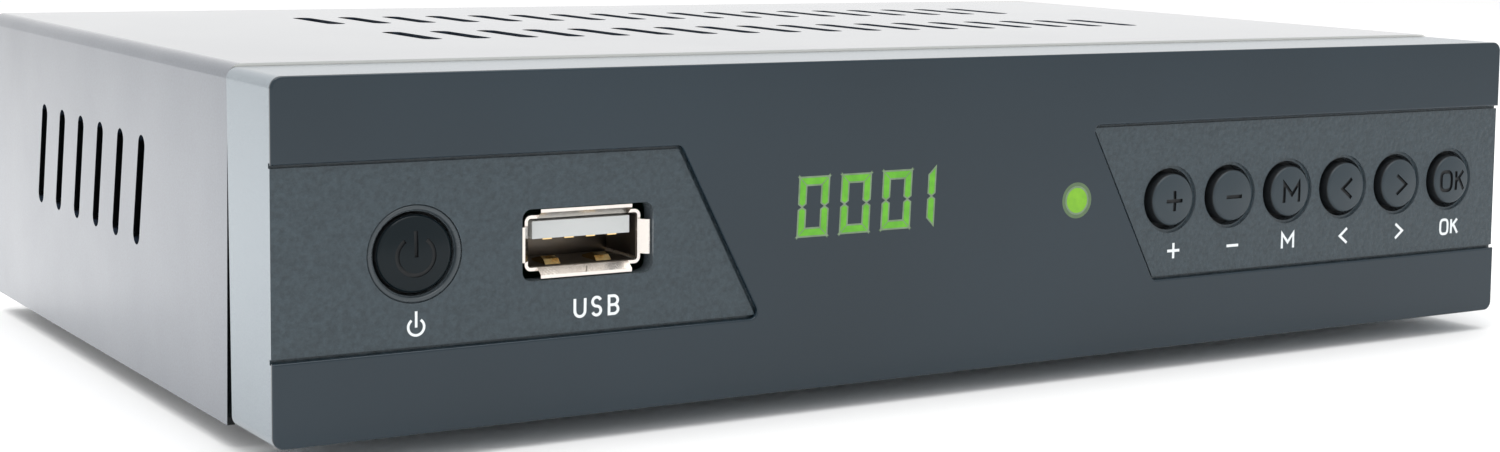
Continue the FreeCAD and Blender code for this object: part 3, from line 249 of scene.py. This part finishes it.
MATERIALS = {
    "cover": cover_material(),
    "fascia": fascia_material(),
    "gloss": gloss_material(),
    "cap": gloss_material("cap_satin", (0.003, 0.008, 0.011), 0.22, 1.28),
    "key": gloss_material("key_satin", (0.026, 0.040, 0.050), 0.34),
    # Painted shade: a dark metal colour on thin sheets laid inside the socket and on its lip's seam, where
    # only shade falls.
    "socket_shade": plated("painted_socket_shade", (0.16, 0.14, 0.12), 0.4),
    "rim": gloss_material("rim_satin", (0.05, 0.062, 0.07), 0.25),
    # Painted shade: a near-black colour for the engraved signs and the sides of the caps, standing for the
    # shade that falls in them.
    "recess_shade": moulded("painted_recess_shade", (0.004, 0.006, 0.008), 0.6, 1500, 0.004),
    "tray": plated("tray_zinc", (0.62, 0.63, 0.64), 0.34, (1, 0.06, 1)),
    "nickel": plated("nickel", (0.80, 0.75, 0.70), 0.22, (1, 1, 1)),
    "gold": plated("contact_gold", (0.86, 0.62, 0.28), 0.2),
    "tin": plated("tin_can", (0.72, 0.72, 0.70), 0.3, (0.1, 1, 1)),
    "screw": plated("screw_zinc", (0.56, 0.56, 0.56), 0.28),
    "alloy": plated("sink_alloy", (0.60, 0.61, 0.63), 0.42, (1, 0.08, 1)),
    "white": moulded("white_insulator", (0.58, 0.60, 0.60), 0.35, 700, 0.004, 0.05),
    "black": moulded("black_moulding", (0.022, 0.022, 0.024), 0.42, 1100, 0.01),
    "chip": moulded("chip_epoxy", (0.03, 0.03, 0.033), 0.55, 2600, 0.006),
    "board": moulded("solder_mask", (0.020, 0.13, 0.06), 0.3, 500, 0.006),
    "sleeve": moulded("capacitor_sleeve", (0.02, 0.02, 0.06), 0.22, 300, 0.003),
    "rubber": moulded("foot_rubber", (0.02, 0.02, 0.02), 0.75, 1300, 0.02),
    "eye": gloss_material("eye_epoxy", (0.05, 0.01, 0.03), 0.1),
    "glass": gloss_material("display_lens", (0.01, 0.014, 0.012), 0.12),
    "segment": lit("lit_segment", (0.075, 0.285, 0.006), 0.62, (0.055, 0.23, 0.005)),
    # Painted glow: dim light round the lit bars of the digits.
    "halo": lit("segment_halo", (0.15, 0.22, 0.13), 0.2, (0.11, 0.17, 0.09)),
    "lamp": lit("lit_lamp", (0.13, 0.31, 0.005), 0.6, (0.10, 0.26, 0.005)),
    # Painted glow: dim light round the lamp.
    "glow": lit("lamp_glow", (0.07, 0.12, 0.05), 0.3, (0.06, 0.10, 0.05)),
    "print": moulded("white_print", (0.80, 0.84, 0.86), 0.45, 900, 0.002, 0.04),
}

FINISHES = {
    "cover": ["top_cover"],
    "fascia": ["front_fascia"],
    "gloss": ["front_lens"],
    "tray": ["base_tray"],
    "nickel": ["usb_shell", "sat_connector", "sat_nut", "hdmi_shell", "audio_socket", "jack_pin"],
    "gold": ["usb_contacts", "lan_contacts"],
    "tin": ["tuner_can", "tuner_lid", "crystal", "board_posts"],
    "screw": ["lug_screws", "lip_screws", "board_screws", "front_board_screws"],
    "alloy": ["heatsink"],
    "white": ["usb_tongue", "sat_insulator", "audio_insulator", "led_holder"],
    "black": ["tact_switches", "audio_block", "lan_socket", "power_jack", "board_link",
              "hdmi_tongue", "display_spacer", "eye_holder"],
    "chip": ["processor", "memory_chips", "coils"],
    "board": ["front_board", "main_board"],
    "sleeve": ["capacitors"],
    "rubber": ["feet"],
    "eye": ["remote_eye"],
    "glass": ["display_module"],
    "lamp": ["status_led"],
}
CONTROLS = ["power", "plus", "minus", "menu", "left", "right", "ok"]
FINISHES["cap"] = [name + "_button" for name in CONTROLS]
FINISHES["black"] += [name + "_plunger" for name in CONTROLS]


def dress(node, material):
    """Gives a CAD piece the material in place of its own."""
    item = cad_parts[node]
    item.data.materials.clear()
    item.data.materials.append(material)


for finish, nodes in FINISHES.items():
    for node in nodes:
        dress(node, MATERIALS[finish])


# Mesh helpers

def make(name, points, faces, finish, body=BODY, smooth=True):
    mesh = bpy.data.meshes.new(name)
    mesh.from_pydata([tuple(point) for point in points], [], faces)
    mesh.update()
    for face in mesh.polygons:
        face.use_smooth = smooth
    item = bpy.data.objects.new(name, mesh)
    bpy.context.scene.collection.objects.link(item)
    mesh.materials.append(MATERIALS[finish])
    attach(item, body)
    return item


def sharpen(item, degrees=35):
    """Marks the edges that are bent by more than the angle as sharp."""
    item.data.set_sharp_from_angle(angle=math.radians(degrees))
    return item


def turned(name, centre, profile, finish, body=BODY, steps=96):
    """A closed round piece about an axis along Y, from points (radius, y) in metres."""
    points = []
    faces = []
    count = len(profile)
    for step in range(steps):
        angle = 2 * math.pi * step / steps
        for radius, y in profile:
            points.append((centre[0] + radius * math.cos(angle), y, centre[2] + radius * math.sin(angle)))
    for step in range(steps):
        here = step * count
        there = (step + 1) % steps * count
        for index in range(count - 1):
            faces.append((here + index, there + index, there + index + 1, here + index + 1))
    for ring, flip in ((0, False), (count - 1, True)):
        loop = [step * count + ring for step in range(steps)]
        faces.append(loop[::-1] if not flip else loop)
    return sharpen(make(name, points, faces, finish, body))


def hoop(name, centre, profile, finish, steps=96):
    """A closed ring about an axis along Y, from a loop of points (radius, y) in metres."""
    count = len(profile)
    points = []
    faces = []
    for step in range(steps):
        angle = 2 * math.pi * step / steps
        following = (step + 1) % steps * count
        for index, (radius, y) in enumerate(profile):
            after = (index + 1) % count
            points.append((centre[0] + radius * math.cos(angle), y,
                           centre[2] + radius * math.sin(angle)))
            faces.append((step * count + index, following + index, following + after,
                          step * count + after))
    return sharpen(make(name, points, faces, finish))


def prism(name, outline, y_front, y_back, finish, body=BODY):
    """A flat shape in X and Z, given anticlockwise seen from the front, between two depths."""
    count = len(outline)
    points = [(x, y, z) for y in (y_front, y_back) for x, z in outline]
    faces = [tuple(range(count)), tuple(range(2 * count - 1, count - 1, -1))]
    for index in range(count):
        after = (index + 1) % count
        faces.append((index, count + index, count + after, after))
    return make(name, points, faces, finish, body, smooth=False)


def arc(centre, radius, start, stop, steps=24):
    """Points along an arc, with the angles in degrees."""
    angles = [math.radians(start + (stop - start) * i / steps) for i in range(steps + 1)]
    return [(centre[0] + radius * math.cos(a), centre[1] + radius * math.sin(a)) for a in angles]


def stroke(path, width, closed=False):
    """The outlines of a line drawn with a round pen: one for a line, two for a closed one."""
    half = width / 2
    lefts = []
    rights = []
    count = len(path)
    for index, spot in enumerate(path):
        before = path[index - 1] if closed or index else path[index]
        after = path[(index + 1) % count] if closed or index < count - 1 else path[index]
        first = Vector(spot) - Vector(before)
        last = Vector(after) - Vector(spot)
        run = (first.normalized() if first.length else last.normalized())
        run += (last.normalized() if last.length else first.normalized())
        run.normalize()
        side = Vector((-run.y, run.x))
        share = run.dot(last.normalized() if last.length else first.normalized())
        reach = half / max(share, 0.4)
        lefts.append(tuple(Vector(spot) + side * reach))
        rights.append(tuple(Vector(spot) - side * reach))
    return lefts, rights


def ribbon(name, paths, width, y_front, y_back, finish, body=BODY):
    """Flat strokes between two depths. A path whose ends meet is drawn as a closed one."""
    points = []
    faces = []
    for order, path in enumerate(paths):
        front = y_front - order * SKIN / 20
        closed = (Vector(path[0]) - Vector(path[-1])).length < 1e-6
        line = path[:-1] if closed else path
        lefts, rights = stroke(line, width, closed)
        base = len(points)
        for left, right in zip(lefts, rights):
            for y in (front, y_back):
                points.append((left[0], y, left[1]))
                points.append((right[0], y, right[1]))
        count = len(line)
        for index in range(count if closed else count - 1):
            here = base + 4 * index
            there = base + 4 * ((index + 1) % count)
            faces.append((here, here + 1, there + 1, there))
            faces.append((here + 2, there + 2, there + 3, here + 3))
            faces.append((here, there, there + 2, here + 2))
            faces.append((here + 1, here + 3, there + 3, there + 1))
        if not closed:
            last = base + 4 * (count - 1)
            faces.append((base, base + 2, base + 3, base + 1))
            faces.append((last, last + 1, last + 3, last + 2))
    return make(name, points, faces, finish, body, smooth=False)


def symbol(kind, centre, size, bar=1.3):
    """The strokes of a key's sign, size being half its height."""
    x, z = centre
    shapes = {
        "plus": [[(-1, 0), (1, 0)], [(0, -1), (0, 1)]],
        "minus": [[(-1, 0), (1, 0)]],
        "menu": [[(-1, -1), (-1, 1), (0, -0.2), (1, 1), (1, -1)]],
        "left": [[(0.6, 1), (-0.7, 0), (0.6, -1)]],
        "right": [[(-0.6, 1), (0.7, 0), (-0.6, -1)]],
    }
    if kind == "power":
        ring = arc((0, 0), 1, 125, 415)
        return [[(x + size * a, z + size * b) for a, b in ring],
                [(x, z + size * bar), (x, z - size * 0.05)]]
    if kind == "ok":
        ring = [(-0.95 + 0.72 * math.copysign(abs(a) ** 0.6, a), math.copysign(abs(b) ** 0.6, b))
                for a, b in arc((0, 0), 1, 0, 360, 32)]
        shapes["ok"] = [ring, [(0.45, 1), (0.45, -1)], [(1.6, 1), (0.45, -0.1)], [(0.85, 0.3), (1.7, -1)]]
    return [[(x + size * a, z + size * b) for a, b in line] for line in shapes[kind]]


# Controls

def carve(item, cutter):
    """Cuts the cutter out of the piece and takes the cutter away."""
    cut = item.modifiers.new("engraving", "BOOLEAN")
    cut.operation = "DIFFERENCE"
    cut.solver = "EXACT"
    cut.use_self = True
    cut.material_mode = "TRANSFER"
    cut.object = cutter
    bpy.context.view_layer.update()
    made = bpy.data.meshes.new_from_object(item.evaluated_get(bpy.context.evaluated_depsgraph_get()))
    item.modifiers.remove(cut)
    item.data = made
    bpy.data.objects.remove(cutter)
    return sharpen(item)


class Control:
    """The sizes of a push button's cap and of the print below it."""

    def __init__(self, radius, crown, edge, sign, stroke, print_size, print_stroke, drop):
        self.radius = radius * MM
        self.crown = crown * MM
        self.edge = edge * MM
        self.sign = sign * MM
        self.stroke = stroke * MM
        self.print_size = print_size * MM
        self.print_stroke = print_stroke * MM
        self.drop = drop * MM


POWER = Control(4.0, 0.40, 0.6, 1.95, 0.42, 0.84, 0.26, 7.4)
KEY = Control(3.2, 0.25, 0.5, 1.25, 0.46, 0.95, 0.34, 6.4)
ENGRAVED = 0.25 * MM
COLLAR_FRONT = LENS[1].y + 2.2 * MM
COLLAR_DEPTH = 0.8 * MM
STEM = 1.4 * MM
PRINT_SHIFT = {"power": 0.1, "plus": 0.7, "minus": 0.65, "menu": 0.3, "left": 0.4, "right": 0.65, "ok": 0.4}


def cap(name):
    """A domed cap with its sign cut into the face, in place of the plain button."""
    node = name + "_button"
    low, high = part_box(node)
    centre = ((low.x + high.x) / 2, 0, CONTROL_Z)
    sizes = POWER if name == "power" else KEY
    face = sizes.radius - sizes.edge
    rings = 10
    profile = []
    for index in range(1, rings + 1):
        share = index / rings
        profile.append((face * share, low.y + sizes.crown * share ** 2))
    for index in range(1, 7):
        angle = math.radians(15 * index)
        profile.append((face + sizes.edge * math.sin(angle),
                        low.y + sizes.crown + sizes.edge * (1 - math.cos(angle))))
    collar = (high.x - low.x) / 2
    profile += [(sizes.radius, COLLAR_FRONT), (collar, COLLAR_FRONT),
                (collar, COLLAR_FRONT + COLLAR_DEPTH), (STEM, COLLAR_FRONT + COLLAR_DEPTH), (STEM, high.y)]
    finish = "cap" if name == "power" else "key"
    item = turned(name + "_cap", centre, profile, finish, name + "_control")
    lines = symbol(name, (centre[0], CONTROL_Z - sizes.sign * 0.1), sizes.sign)
    depth = low.y + sizes.crown * 0.3 + ENGRAVED
    # The cut faces of the sign take the cutter's material, the painted recess shade.
    carve(item, ribbon(name + "_cutter", lines, sizes.stroke, low.y - MM, depth, "recess_shade",
                       name + "_control"))
    # The cap's side, collar and stem, behind the front of its rounded edge, take the same painted shade, for
    # the dark gap round the cap.
    shade = len(item.data.materials) - 1
    for face in item.data.polygons:
        if face.center.y > low.y + sizes.crown + sizes.edge * 0.55:
            face.material_index = shade
    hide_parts(node)
    return centre[0]


def label(name, x):
    """The white print under a control."""
    sizes = POWER if name == "power" else KEY
    centre = (x + PRINT_SHIFT[name] * MM, CONTROL_Z - sizes.drop)
    ribbon(name + "_print", symbol(name, centre, sizes.print_size, 1.9), sizes.print_stroke,
           PANEL - SKIN, PANEL, "print")


for control in CONTROLS:
    label(control, cap(control))


def power_ring():
    """The smooth rounded rim round the power button, on the ledge of its hole."""
    low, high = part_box("power_button")
    centre = ((low.x + high.x) / 2, 0, CONTROL_Z)
    inner, outer, height = 4.36 * MM, 4.98 * MM, 0.42 * MM
    middle, half = (inner + outer) / 2, (outer - inner) / 2
    ledge = PANEL + 0.35 * MM
    profile = [(inner, ledge)]
    profile += [(middle + half * a, ledge - height * b) for a, b in arc((0, 0), 1, 180, 0, 12)]
    profile += [(outer, ledge)]
    hoop("power_rim", centre, profile[1:-1], "rim")


power_ring()


USB_X = (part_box("usb_shell")[0].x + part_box("usb_shell")[1].x) / 2


def usb_print():
    """The socket's name in plain capitals below it."""
    letters = {
        "U": [[(-0.62, 1), (-0.62, -0.4)] + arc((0, -0.4), 0.6, 180, 360, 10) + [(0.62, 1)]],
        "S": [arc((0, 0.5), 0.5, 20, 270, 12) + arc((0, -0.5), 0.5, 90, -160, 12)],
        "B": [[(-0.5, 0), (-0.5, 1)] + arc((0.05, 0.5), 0.5, 90, -90, 10) + [(-0.5, 0)],
              [(-0.5, 0), (0.1, 0)] + arc((0.1, -0.5), 0.5, 90, -90, 10) + [(-0.5, -1), (-0.5, 0)]],
    }
    size = 0.95 * MM
    pitch = 1.9 * MM
    z = CONTROL_Z - 6.9 * MM
    for index, letter in enumerate("USB"):
        x = USB_X + 0.9 * MM + (index - 1) * pitch
        lines = [[(x + size * a, z + size * b) for a, b in line] for line in letters[letter]]
        ribbon("usb_print_" + letter.lower(), lines, 0.3 * MM, PANEL - SKIN, PANEL, "print")


usb_print()


def plate(name, low, high, finish):
    """A thin box with bevelled edges between two corners."""
    x = (low[0], high[0])
    y = (low[1], high[1])
    z = (low[2], high[2])
    points = [(x[i], y[j], z[k]) for i in (0, 1) for j in (0, 1) for k in (0, 1)]
    faces = [(0, 1, 3, 2), (4, 6, 7, 5), (0, 4, 5, 1), (2, 3, 7, 6), (0, 2, 6, 4), (1, 5, 7, 3)]
    item = make(name, points, faces, finish)
    bevel = item.modifiers.new("soft_edges", "BEVEL")
    bevel.width = min(abs(b - a) for a, b in (x, y, z)) * 0.2
    bevel.segments = 2
    return item


def usb_inside():
    """The painted shade inside the socket: dark sheets on its floor, right wall and back, a dark strip on its
    lip's seam, and its two lower springs.
    """
    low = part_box("usb_shell")[0]
    width, height = 12.5 * MM, 5.12 * MM
    floor = CONTROL_Z - height / 2
    mouth = low.y + 1.2 * MM
    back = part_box("usb_tongue")[1].y - 5.2 * MM
    skin = 0.04 * MM
    left, right = USB_X - width / 2, USB_X + width / 2
    inset = 0.4 * MM
    # Thin dark sheets, painted shade where the inside of the socket is in shadow.
    plate("usb_floor_shade", (left + inset, mouth, floor), (right - inset, back, floor + skin), "socket_shade")
    plate("usb_wall_shade", (right - skin, mouth, floor + inset), (right, back, floor + height - inset), "socket_shade")
    plate("usb_rear_shade", (left + inset, back - skin, floor + skin), (right - skin, back, floor + height / 2),
          "socket_shade")
    for side, x in (("left", USB_X - 2.9 * MM), ("right", USB_X + 2.9 * MM)):
        half = 0.85 * MM
        start = mouth + 0.9 * MM
        spring = [(start, floor + skin), (start + 3.4 * MM, floor + skin),
                  (start + 3.4 * MM, floor + 0.25 * MM), (start + 1.4 * MM, floor + 0.75 * MM),
                  (start + 0.5 * MM, floor + 0.55 * MM)]
        points = [(x + sign * half, y, z) for sign in (-1, 1) for y, z in spring]
        count = len(spring)
        faces = [tuple(range(count)), tuple(range(2 * count - 1, count - 1, -1))]
        faces += [(i, i + count, (i + 1) % count + count, (i + 1) % count) for i in range(count)]
        make("usb_spring_" + side, points, faces, "gold", smooth=False)
    seam = 0.05 * MM
    lip = low.z + 0.06 * MM
    # A dark strip on the lip's seam, painted shade of the gap there.
    plate("usb_seam_shade", (USB_X - seam, low.y + 0.02 * MM, lip),
          (USB_X + seam, low.y + 0.1 * MM, lip + 0.9 * MM), "socket_shade")


usb_inside()


# Rear

def threaded_barrel():
    """The aerial socket's barrel with its screw thread, which starts behind the nut."""
    low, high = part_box("sat_connector")
    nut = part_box("sat_nut")
    middle = ((low.x + high.x) / 2, (low.z + high.z) / 2)
    crest = (high.x - low.x) / 2
    root = crest - 0.4 * MM
    pitch = 0.794 * MM
    bore = 3.4 * MM
    floor_y = high.y - 9.9 * MM
    pinhole = 0.2 * MM
    steps, rows_per_turn = 72, 8
    start = nut[1].y
    rows = int((high.y - start) / pitch * rows_per_turn)
    ring = []
    for row in range(rows + 1):
        ring.append((start + (high.y - start) * row / rows, row / rows_per_turn))
    points = []
    faces = []
    for step in range(steps):
        share = step / steps
        angle = 2 * math.pi * share
        column = [(root, start)]
        for y, turn in ring:
            wave = abs(((turn - share) % 1) * 2 - 1)
            taper = min(1.0, (high.y - y) / pitch)
            column.append((root + (crest - root) * wave * taper, y))
        column += [(bore, high.y), (bore, floor_y), (pinhole, floor_y)]
        count = len(column)
        for radius, y in column:
            points.append((middle[0] + radius * math.cos(angle), y, middle[1] + radius * math.sin(angle)))
        there = (step + 1) % steps * count
        here = step * count
        for index in range(count - 1):
            faces.append((here + index, there + index, there + index + 1, here + index + 1))
    neck = [(pinhole, low.y), (root, low.y), (root, start), (bore, start)]
    turned("sat_neck", (middle[0], 0, middle[1]), neck, "nickel", steps=64)
    sharpen(make("sat_barrel", points, faces, "nickel"), 50)
    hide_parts("sat_connector")


threaded_barrel()


# Display

DIGIT_WIDTH = 3.7 * MM
DIGIT_HEIGHT = 6.5 * MM
SEGMENT = 0.82 * MM
SEGMENT_GAP = 0.05 * MM
HALO = 0.14 * MM
SLANT = 0.045
DIGITS = ((-23.55, 17.4, "abcdef"), (-18.1, 17.45, "abcdef"), (-12.65, 17.55, "abcdef"),
          (-7.95, 17.7, "bc"))


def grown(outline, distance):
    """A convex outline, anticlockwise, with its sides moved outwards, or inwards if negative."""
    corners = [Vector(corner) for corner in outline]
    count = len(corners)
    moved = []
    for index, corner in enumerate(corners):
        before = (corner - corners[index - 1]).normalized()
        after = (corners[(index + 1) % count] - corner).normalized()
        outward = Vector((before.y + after.y, -before.x - after.x)).normalized()
        moved.append(corner + outward * (distance / max(outward.dot(Vector((before.y, -before.x))), 0.3)))
    return moved


def segments():
    """The outlines of a digit's mitred bars round its middle, by the usual letters."""
    right, top = DIGIT_WIDTH / 2, DIGIT_HEIGHT / 2
    waist = SEGMENT * 0.12
    bar = [(right, top), (-right, top), (-right + SEGMENT, top - SEGMENT), (right - SEGMENT, top - SEGMENT)]
    post = [(right, waist + SEGMENT * 0.35), (right, top), (right - SEGMENT, top - SEGMENT),
            (right - SEGMENT, waist + SEGMENT * 0.35), (right - SEGMENT / 2, waist)]
    flat = {
        "a": bar,
        "b": post,
        "f": [(-x, z) for x, z in reversed(post)],
    }
    flat["c"] = [(x, -z) for x, z in reversed(post)]
    flat["e"] = [(-x, -z) for x, z in post]
    flat["d"] = [(x, -z) for x, z in reversed(bar)]
    return flat


def display():
    """Four digits printed in light on the gloss front, each bar with a painted glow round its edge."""
    outlines = segments()
    for number, (left_x, low_z, parts) in enumerate(DIGITS):
        x = left_x * MM
        z = LOW + low_z * MM + DIGIT_HEIGHT / 2
        if parts == "bc":
            x -= (DIGIT_WIDTH - SEGMENT) / 2
        for part in parts:
            for finish, grow, rise in (("segment", -SEGMENT_GAP, 1), ("halo", HALO, 0.5)):
                outline = [(x + a + SLANT * b, z + b) for a, b in grown(outlines[part], grow)]
                order = "abcdef".index(part) / 20
                prism("%s_%d%s" % (finish, number, part), outline, FRONT - SKIN * (rise + order), FRONT,
                      finish)


def status_light():
    """The green light beside the digits, with a painted glow round it."""
    middle = (12.85 * MM, 0, LOW + 19.25 * MM)
    for name, radius, rise, finish in (("lamp_glow", 2.15, 0.3, "glow"), ("lamp_halo", 1.72, 0.6, "halo"),
                                       ("lamp_spot", 1.5, 1, "lamp")):
        face = FRONT - SKIN * rise
        turned(name, middle, [(radius * MM / 2, face), (radius * MM, face + SKIN / 10), (radius * MM, FRONT)],
               finish, steps=64)


display()
status_light()


# Surroundings

WORLD_LIGHT = 0.95
FLOOR_HALF = 3.0
SOFTBOX_PLACE = (-0.10, -0.05, 0.75)
SOFTBOX_SIZE = (0.8, 0.8)
SOFTBOX_POWER = 5.3


def softbox(name, place, target, size, power):
    """A rectangular lamp that looks at the target."""
    data = bpy.data.lights.new(name, "AREA")
    data.shape = "RECTANGLE"
    data.size, data.size_y = size
    data.energy = power
    item = bpy.data.objects.new(name, data)
    bpy.context.scene.collection.objects.link(item)
    item.location = place
    item.rotation_euler = (Vector(target) - Vector(place)).to_track_quat("-Z", "Y").to_euler()


def floor_material():
    """A plain pale floor with a faint drift of tone."""
    paint = Shader("floor_paint", (0.95, 0.95, 0.95), 0.9)
    paint.colour(paint.ramp(paint.noise(3, 2), (0.94, 0.94, 0.94), (0.96, 0.96, 0.96)))
    return paint.material


def surroundings():
    """A world of even light, white to the eye and in gloss, a floor and one softbox above."""
    world = bpy.data.worlds.new("studio")
    bpy.context.scene.world = world
    world.use_nodes = True
    tree = world.node_tree
    tree.nodes.clear()
    rays = tree.nodes.new("ShaderNodeLightPath")
    seen = rays.outputs["Is Camera Ray"]
    for other in ("Is Glossy Ray", "Is Transmission Ray"):
        either = tree.nodes.new("ShaderNodeMath")
        either.operation = "MAXIMUM"
        tree.links.new(seen, either.inputs[0])
        tree.links.new(rays.outputs[other], either.inputs[1])
        seen = either.outputs["Value"]
    mix = tree.nodes.new("ShaderNodeMixShader")
    tree.links.new(seen, mix.inputs["Fac"])
    for slot_index, strength in ((1, WORLD_LIGHT), (2, 1.0)):
        background = tree.nodes.new("ShaderNodeBackground")
        background.inputs["Color"].default_value = (1, 1, 1, 1)
        background.inputs["Strength"].default_value = strength
        tree.links.new(background.outputs["Background"], mix.inputs[slot_index])
    output = tree.nodes.new("ShaderNodeOutputWorld")
    tree.links.new(mix.outputs["Shader"], output.inputs["Surface"])

    half = FLOOR_HALF
    data = bpy.data.meshes.new("floor")
    data.from_pydata([(-half, -half, 0), (half, -half, 0), (half, half, 0), (-half, half, 0)], [],
                     [(0, 1, 2, 3)])
    floor = bpy.data.objects.new("floor", data)
    bpy.context.scene.collection.objects.link(floor)
    data.materials.append(floor_material())

    softbox("top_softbox", SOFTBOX_PLACE, (0, 0, 0), SOFTBOX_SIZE, SOFTBOX_POWER)


IMAGE_SIZE = (1500, 452)            # pixels of the photograph
FOCAL_PIXELS = 2458.0
AXIS_PIXEL = (1011.8, 122.9)        # where the camera's axis meets the photograph
CAMERA_TURN = (0.6193, -0.0946, -0.0202)  # yaw, pitch and roll, in radians
CAMERA_PLACE = Vector((-162.12 * MM, FRONT - 231.8 * MM, LOW + 55.9 * MM))


def camera():
    """The photograph's viewpoint, fitted to the edges and round holes seen in it."""
    data = bpy.data.cameras.new("camera")
    item = bpy.data.objects.new("camera", data)
    bpy.context.scene.collection.objects.link(item)
    bpy.context.scene.camera = item
    width, height = IMAGE_SIZE
    data.sensor_fit = "HORIZONTAL"
    data.sensor_width = 36.0
    data.lens = FOCAL_PIXELS / width * data.sensor_width
    data.shift_x = (width / 2 - AXIS_PIXEL[0]) / width
    data.shift_y = (AXIS_PIXEL[1] - height / 2) / width
    data.clip_start = 0.01
    yaw, pitch, roll = CAMERA_TURN
    forward = Vector((math.sin(yaw) * math.cos(pitch), math.cos(yaw) * math.cos(pitch), math.sin(pitch)))
    level = Vector((math.cos(yaw), -math.sin(yaw), 0))
    down = forward.cross(level)
    right = level * math.cos(roll) + down * math.sin(roll)
    down = down * math.cos(roll) - level * math.sin(roll)
    turn = Matrix((right, -down, -forward)).transposed()
    item.matrix_world = Matrix.Translation(CAMERA_PLACE) @ turn.to_4x4()


surroundings()
camera()
bpy.context.scene.view_settings.view_transform = "Standard"
